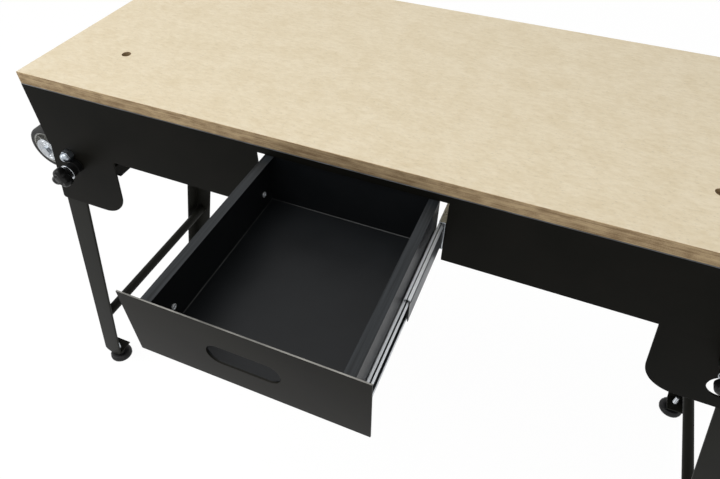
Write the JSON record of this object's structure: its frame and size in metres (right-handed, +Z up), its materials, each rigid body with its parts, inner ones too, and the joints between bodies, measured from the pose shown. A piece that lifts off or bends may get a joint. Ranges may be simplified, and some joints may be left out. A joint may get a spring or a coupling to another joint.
{
  "type": "workbench",
  "caption": "Folding workbench with a thick board top, a steel frame with an open drawer on ball slides, splayed folding legs with clamping knobs, levelling feet and end wheels.",
  "frame": {"origin": "middle of the footprint's bounding box, on the floor", "axes": "+X to the right along the bench seen from the drawer side, +Y to the back, away from the drawer, +Z up"},
  "size_m": [1.322, 0.703, 0.81],
  "materials": {
    "fibreboard": "smooth sanded fibreboard, cream",
    "frame_paint": "black powder coat, semi matte",
    "leg_paint": "black powder coat, semi matte",
    "drawer_paint": "dark powder coat, semi matte",
    "drawer_inside_paint": "dark powder coat, semi matte",
    "zinc_plate": "bright zinc plate",
    "bright_nuts": "polished nickel plate",
    "black_plastic": "moulded plastic, fine grain",
    "foot_plastic": "moulded plastic, satin",
    "wheel_rubber": "solid rubber",
    "wheel_plastic": "moulded plastic, light grey"
  },
  "bodies": {
    "frame": {"worktop": "fibreboard", "worktop_screws": "zinc_plate", "front_apron": "frame_paint", "rear_apron": "frame_paint", "left_end_panel": "frame_paint", "right_end_panel": "frame_paint", "front_left_ear": "frame_paint", "front_right_ear": "frame_paint", "rear_left_ear": "frame_paint", "rear_right_ear": "frame_paint", "left_stretcher_bar": "frame_paint", "right_stretcher_bar": "frame_paint", "left_runner_bracket": "frame_paint", "right_runner_bracket": "frame_paint", "slide_outer_left": "zinc_plate", "slide_outer_right": "zinc_plate", "stop_bolts": "zinc_plate", "stop_cap_nuts": "bright_nuts", "wheel_bracket_front": "zinc_plate", "wheel_bracket_rear": "zinc_plate", "wheel_axle_bolts": "zinc_plate"},
    "drawer": {"drawer_box": "drawer_inside_paint", "drawer_front": "drawer_paint", "slide_inner_left": "zinc_plate", "slide_inner_right": "zinc_plate", "drawer_screws": "zinc_plate"},
    "slide_middle_left": {"slide_middle_left": "zinc_plate", "slide_stop_left": "black_plastic"},
    "slide_middle_right": {"slide_middle_right": "zinc_plate", "slide_stop_right": "black_plastic"},
    "left_leg_frame": {"left_leg_front": "leg_paint", "left_leg_rear": "leg_paint", "left_cross_tube": "leg_paint", "left_foot_plates": "leg_paint", "left_weld_nuts": "zinc_plate"},
    "right_leg_frame": {"right_leg_front": "leg_paint", "right_leg_rear": "leg_paint", "right_cross_tube": "leg_paint", "right_foot_plates": "leg_paint", "right_weld_nuts": "zinc_plate"},
    "knob_front_left": {"knob_front_left": "black_plastic", "knob_stud_front_left": "zinc_plate"},
    "foot_front_left": {"foot_pad_front_left": "foot_plastic", "foot_stud_front_left": "zinc_plate"},
    "knob_rear_left": {"knob_rear_left": "black_plastic", "knob_stud_rear_left": "zinc_plate"},
    "foot_rear_left": {"foot_pad_rear_left": "foot_plastic", "foot_stud_rear_left": "zinc_plate"},
    "knob_front_right": {"knob_front_right": "black_plastic", "knob_stud_front_right": "zinc_plate"},
    "foot_front_right": {"foot_pad_front_right": "foot_plastic", "foot_stud_front_right": "zinc_plate"},
    "knob_rear_right": {"knob_rear_right": "black_plastic", "knob_stud_rear_right": "zinc_plate"},
    "foot_rear_right": {"foot_pad_rear_right": "foot_plastic", "foot_stud_rear_right": "zinc_plate"},
    "wheel_front": {"wheel_tyre_front": "wheel_rubber", "wheel_core_front": "wheel_plastic"},
    "wheel_rear": {"wheel_tyre_rear": "wheel_rubber", "wheel_core_rear": "wheel_plastic"}
  },
  "joints": [
    {"name": "drawer_slide", "type": "slide", "parent": "frame", "child": "drawer", "axis": [0, 1, 0], "range_m": [0, 0.2547]},
    {"name": "slide_middle_left_move", "type": "slide", "parent": "frame", "child": "slide_middle_left", "axis": [0, 1, 0], "range_m": [0, 0.12735]},
    {"name": "slide_middle_right_move", "type": "slide", "parent": "frame", "child": "slide_middle_right", "axis": [0, 1, 0], "range_m": [0, 0.12735]},
    {"name": "left_leg_fold", "type": "hinge", "parent": "frame", "child": "left_leg_frame", "pos_m": [-0.47, 0.108, 0.656], "axis": [0, -1, 0], "range_deg": [0, 103]},
    {"name": "right_leg_fold", "type": "hinge", "parent": "frame", "child": "right_leg_frame", "pos_m": [0.47, 0.108, 0.656], "axis": [0, 1, 0], "range_deg": [0, 93]},
    {"name": "knob_front_left_turn", "type": "hinge", "parent": "left_leg_frame", "child": "knob_front_left", "pos_m": [-0.47, -0.0925, 0.656], "axis": [0, -1, 0], "continuous": true},
    {"name": "knob_rear_left_turn", "type": "hinge", "parent": "left_leg_frame", "child": "knob_rear_left", "pos_m": [-0.47, 0.3085, 0.656], "axis": [0, 1, 0], "continuous": true},
    {"name": "knob_front_right_turn", "type": "hinge", "parent": "right_leg_frame", "child": "knob_front_right", "pos_m": [0.47, -0.0925, 0.656], "axis": [0, -1, 0], "continuous": true},
    {"name": "knob_rear_right_turn", "type": "hinge", "parent": "right_leg_frame", "child": "knob_rear_right", "pos_m": [0.47, 0.3085, 0.656], "axis": [0, 1, 0], "continuous": true},
    {"name": "foot_front_left_turn", "type": "hinge", "parent": "left_leg_frame", "child": "foot_front_left", "pos_m": [-0.6345, -0.075, 0.02], "axis": [0, 0, 1], "continuous": true},
    {"name": "foot_rear_left_turn", "type": "hinge", "parent": "left_leg_frame", "child": "foot_rear_left", "pos_m": [-0.6345, 0.291, 0.02], "axis": [0, 0, 1], "continuous": true},
    {"name": "foot_front_right_turn", "type": "hinge", "parent": "right_leg_frame", "child": "foot_front_right", "pos_m": [0.6345, -0.075, 0.02], "axis": [0, 0, 1], "continuous": true},
    {"name": "foot_rear_right_turn", "type": "hinge", "parent": "right_leg_frame", "child": "foot_rear_right", "pos_m": [0.6345, 0.291, 0.02], "axis": [0, 0, 1], "continuous": true},
    {"name": "wheel_front_spin", "type": "hinge", "parent": "frame", "child": "wheel_front", "pos_m": [-0.548, -0.06, 0.6505], "axis": [0, 1, 0], "continuous": true},
    {"name": "wheel_rear_spin", "type": "hinge", "parent": "frame", "child": "wheel_rear", "pos_m": [-0.548, 0.276, 0.6505], "axis": [0, 1, 0], "continuous": true}
  ],
  "couplings": [
    {"joint": "slide_middle_left_move", "follows": "drawer_slide", "ratio": 0.5},
    {"joint": "slide_middle_right_move", "follows": "drawer_slide", "ratio": 0.5}
  ]
}
